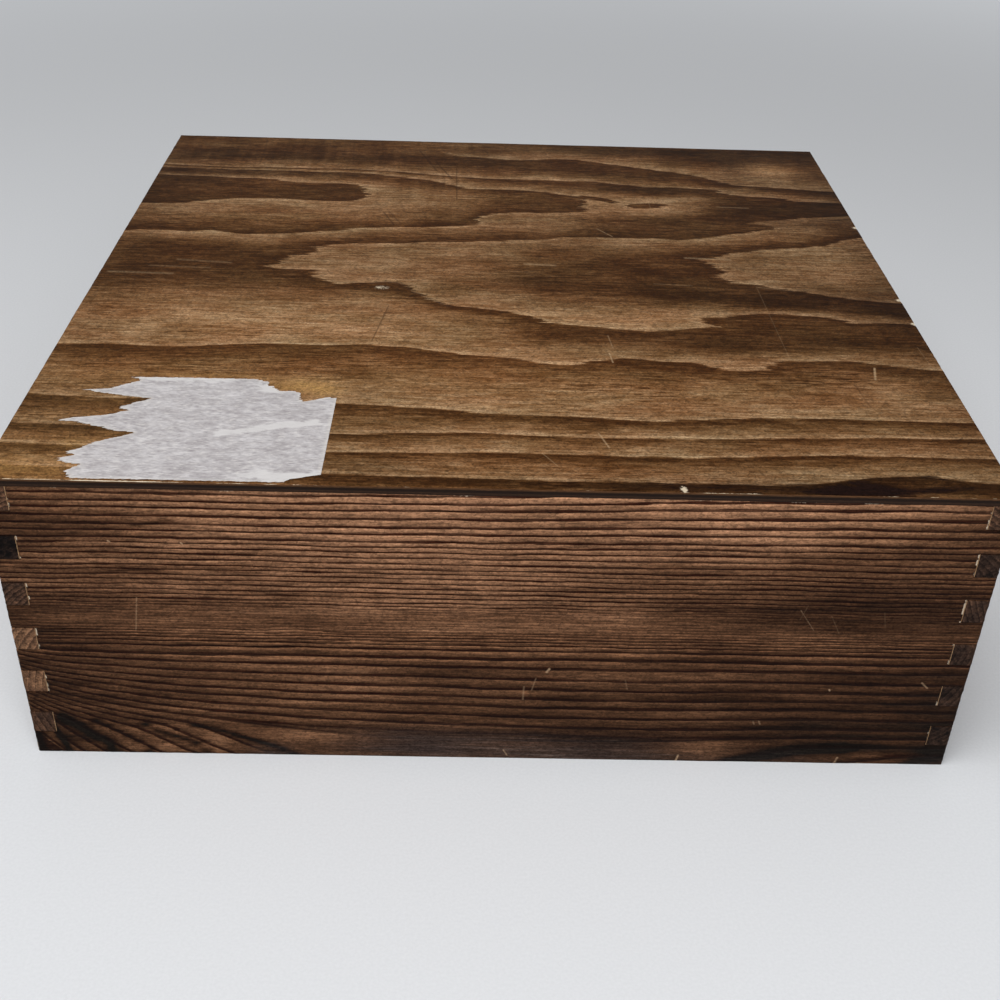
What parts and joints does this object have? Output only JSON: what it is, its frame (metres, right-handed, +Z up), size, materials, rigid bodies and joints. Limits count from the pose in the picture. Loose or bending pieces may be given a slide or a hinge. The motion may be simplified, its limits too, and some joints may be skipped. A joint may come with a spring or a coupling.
{
  "type": "storage box",
  "caption": "Square pine box with box joints, a plywood bottom let into the walls and a flush plywood lid that lifts off, for papers and keepsakes.",
  "frame": {"origin": "middle of the underside, in the plane that the box stands on", "axes": "+Z up, -Y out of the front board, +X to the right seen from the front"},
  "size_m": [0.345, 0.345, 0.1231],
  "materials": {
    "flamed_pine": "flamed, brushed and stained, satin",
    "flamed_plywood": "flamed and stained face veneer, satin",
    "bottom_plywood": "bare, aged",
    "cleat_pine": "planed, bare",
    "staple_wire": "zinc-coated",
    "label_paper": "matt, scuffed"
  },
  "bodies": {
    "box": {"front_board": "flamed_pine", "back_board": "flamed_pine", "left_board": "flamed_pine", "right_board": "flamed_pine", "bottom_panel": "bottom_plywood", "bottom_staples": "staple_wire"},
    "lid": {"lid_panel": "flamed_plywood", "lid_cleat_left": "cleat_pine", "lid_cleat_right": "cleat_pine", "lid_staples": "staple_wire", "torn_label": "label_paper"}
  },
  "joints": [
    {"name": "lid_lift", "type": "slide", "parent": "box", "child": "lid", "axis": [0, 0, 1], "range_m": [0, 0.15]}
  ]
}
